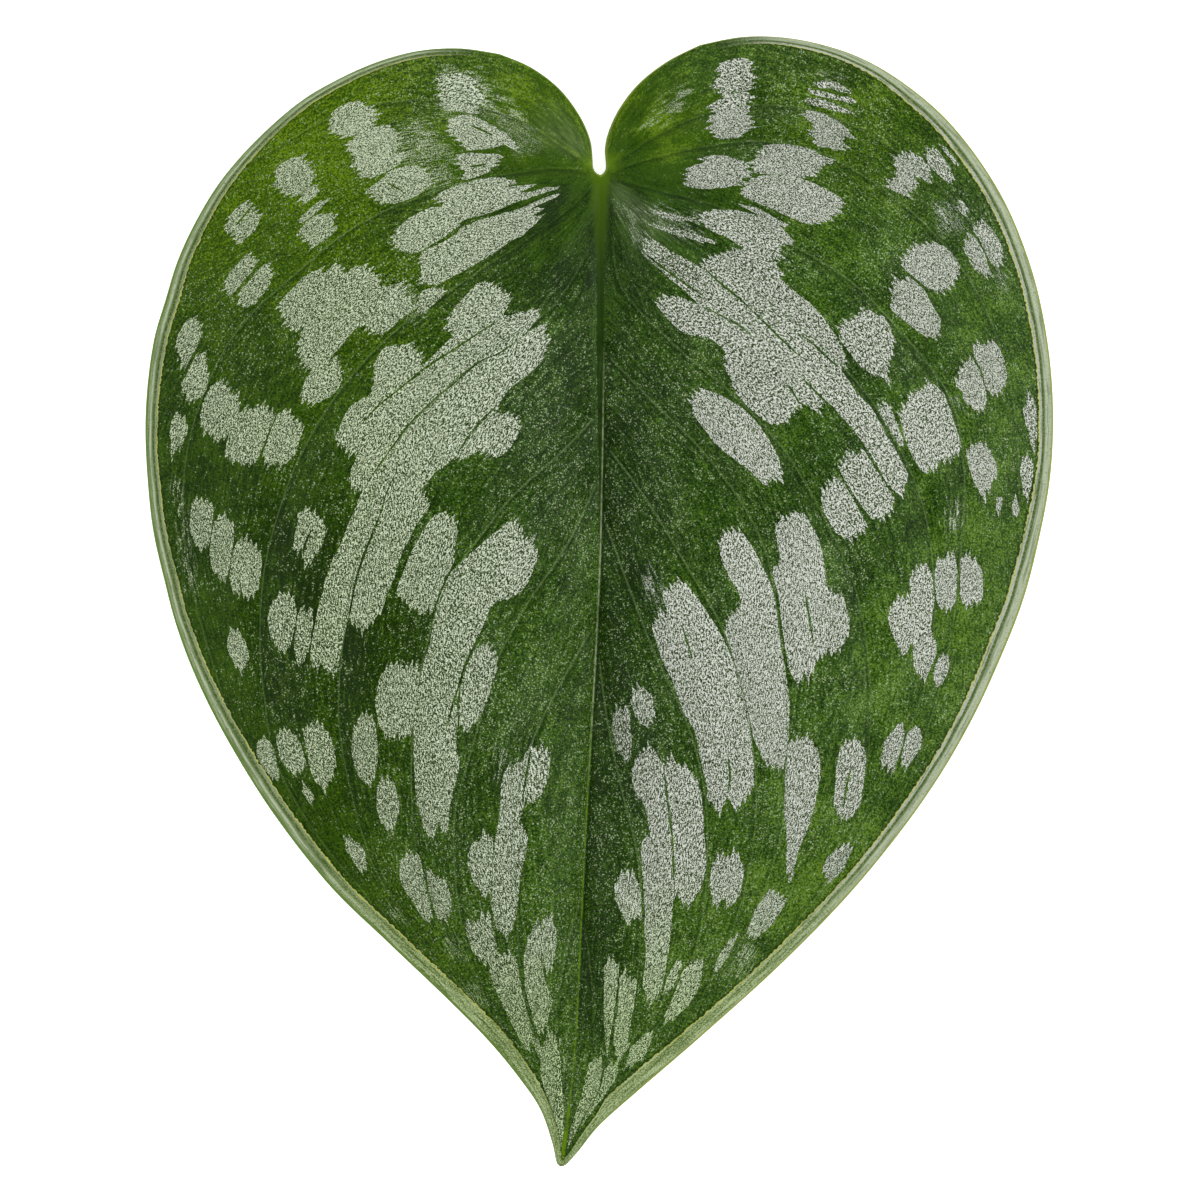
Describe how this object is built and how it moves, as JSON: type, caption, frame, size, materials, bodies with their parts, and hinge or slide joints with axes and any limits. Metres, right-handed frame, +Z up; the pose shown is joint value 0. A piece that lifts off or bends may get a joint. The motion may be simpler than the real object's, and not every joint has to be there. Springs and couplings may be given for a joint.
{
  "type": "satin pothos leaf",
  "caption": "Single heart-shaped satin pothos leaf with two lobes, a sunken midrib, curved side veins and a pointed tip, lying upper side up.",
  "frame": {"origin": "middle of the outline seen from above, on the surface the leaf lies on", "axes": "+Z up from the leaf's upper side; +Y towards the two lobes and -Y towards the tip; +X to the right seen from above with the tip down"},
  "size_m": [0.0804, 0.1, 0.0062],
  "materials": {
    "leaf_blade": "satin, dark green with silvery splashes and a pale margin"
  },
  "bodies": {
    "root": {"leaf": "leaf_blade"}
  },
  "joints": []
}
